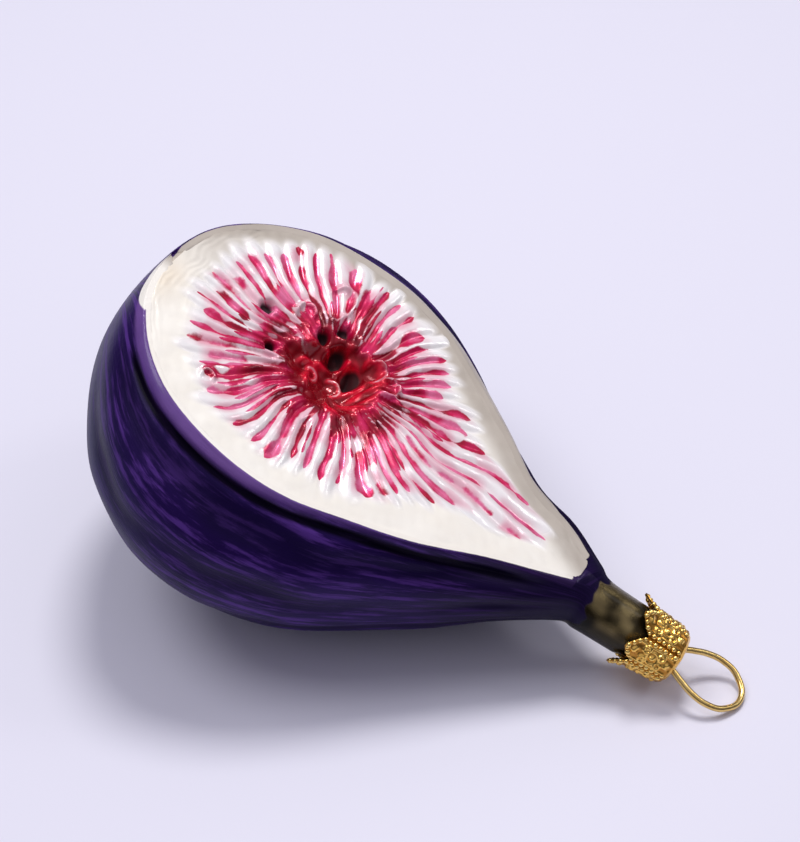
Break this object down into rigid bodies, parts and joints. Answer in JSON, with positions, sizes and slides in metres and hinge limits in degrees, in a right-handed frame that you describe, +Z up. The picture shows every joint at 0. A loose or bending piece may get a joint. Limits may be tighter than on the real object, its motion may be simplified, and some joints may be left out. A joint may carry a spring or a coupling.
{
  "type": "glass fig ornament",
  "caption": "Hollow blown glass hanging ornament shaped as a halved fig, with a painted cut face, a stamped crown cap and a wire loop, lying on its back.",
  "frame": {"origin": "centre of the small flat spot on the rounded back, at the level of the surface it lies on", "axes": "+Z up; +X level, along the ornament from the base of the fruit towards the wire loop; -Y towards the viewer in the picture"},
  "size_m": [0.0964, 0.0609, 0.0459],
  "materials": {
    "painted_glass": "silvered inside and lacquered outside: satin purple skin, pearl white and crimson cut face, olive gold neck",
    "stamped_brass": "gold-coloured, stamped thin sheet, polished on the beads",
    "brass_wire": "gold-coloured bright drawn wire"
  },
  "bodies": {
    "root": {"glass_body": "painted_glass", "crown_cap": "stamped_brass", "hanger_loop": "brass_wire"}
  },
  "joints": []
}
